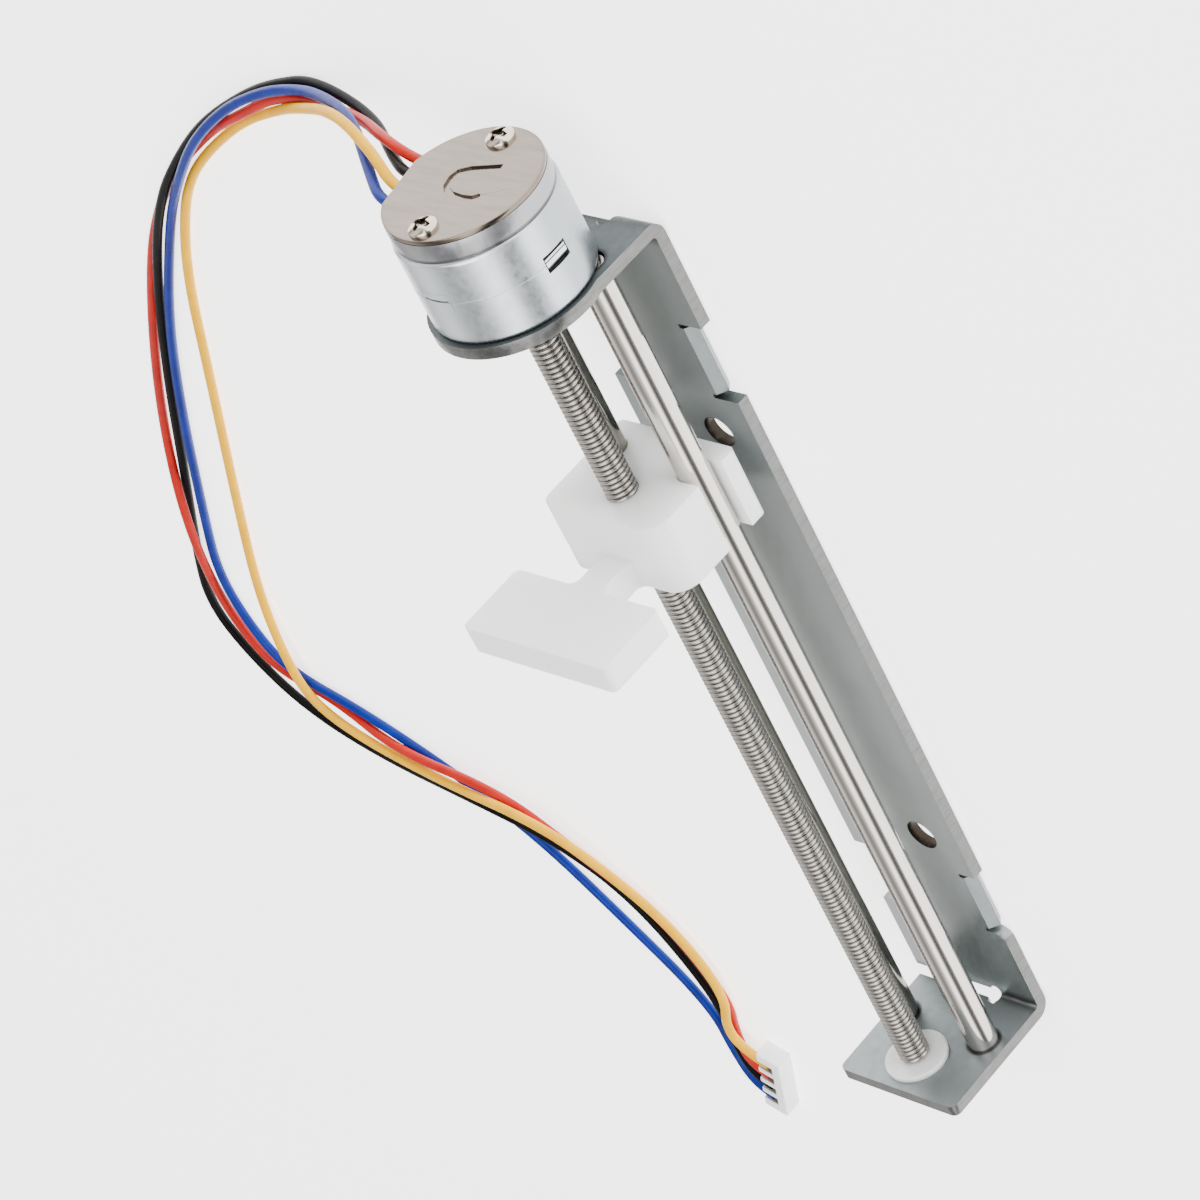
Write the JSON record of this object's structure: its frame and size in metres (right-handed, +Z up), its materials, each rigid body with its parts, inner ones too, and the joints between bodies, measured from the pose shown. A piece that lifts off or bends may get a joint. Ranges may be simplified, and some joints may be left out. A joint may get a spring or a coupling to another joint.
{
  "type": "stepper motor linear slide",
  "caption": "Small linear slide: a can stepper motor on a folded steel bracket turns a fine lead screw that drives a plastic slider along guide rods, with a free wire lead and plug.",
  "frame": {"origin": "centre of the slide's bounding box in plan, without the wires and plug, at the height of the bracket's four bent feet", "axes": "+X along the lead screw from the motor to the far flange, +Z up away from the back plate, +Y across, the wires leaving on the -Y side"},
  "size_m": [0.1903, 0.1453, 0.035],
  "materials": {
    "zinc_steel": "satin zinc-plated sheet",
    "polished_steel": "polished",
    "screw_steel": "bright rolled thread",
    "ferrite": "sintered ferrite, matt",
    "brass": "turned brass",
    "bronze": "sintered bronze",
    "motor_shell": "satin plated sheet",
    "bobbin_plastic": "moulded",
    "copper_winding": "enamelled copper",
    "cover_steel": "brushed",
    "nickel_screw": "nickel",
    "bushing_plastic": "milky",
    "slider_plastic": "translucent white moulding",
    "insulation_red": "smooth",
    "insulation_black": "smooth",
    "insulation_blue": "smooth",
    "insulation_yellow": "smooth",
    "plug_plastic": "moulded nylon",
    "contact_metal": "tinned"
  },
  "bodies": {
    "frame": {"bracket": "zinc_steel", "guide_rod_left": "polished_steel", "guide_rod_right": "polished_steel", "front_bearing": "bronze", "lower_stator_cup": "motor_shell", "upper_stator_cup": "motor_shell", "lower_pole_plate": "motor_shell", "upper_pole_plate": "motor_shell", "lower_bobbin": "bobbin_plastic", "upper_bobbin": "bobbin_plastic", "lower_coil": "copper_winding", "upper_coil": "copper_winding", "end_ring": "motor_shell", "rear_bearing_plate": "motor_shell", "rear_bearing": "bronze", "thrust_ball": "polished_steel", "end_cover": "cover_steel", "cover_screws": "nickel_screw", "terminal_block": "plug_plastic", "far_end_bushing": "bushing_plastic", "wire_red": "insulation_red", "wire_black": "insulation_black", "wire_blue": "insulation_blue", "wire_yellow": "insulation_yellow", "plug_housing": "plug_plastic", "plug_contacts": "contact_metal"},
    "rotor": {"lead_screw": "screw_steel", "rotor_sleeve": "brass", "rotor_magnet": "ferrite"},
    "slider": {"slider": "slider_plastic"}
  },
  "joints": [
    {"name": "screw_turn", "type": "hinge", "parent": "frame", "child": "rotor", "pos_m": [0, 0, 0.0148], "axis": [1, 0, 0], "range_deg": [-14640, 43440]},
    {"name": "slider_travel", "type": "slide", "parent": "frame", "child": "slider", "axis": [1, 0, 0], "range_m": [-0.0285, 0.0845]}
  ],
  "couplings": [
    {"joint": "slider_travel", "follows": "screw_turn", "m_per_rad": 0.00011141}
  ]
}
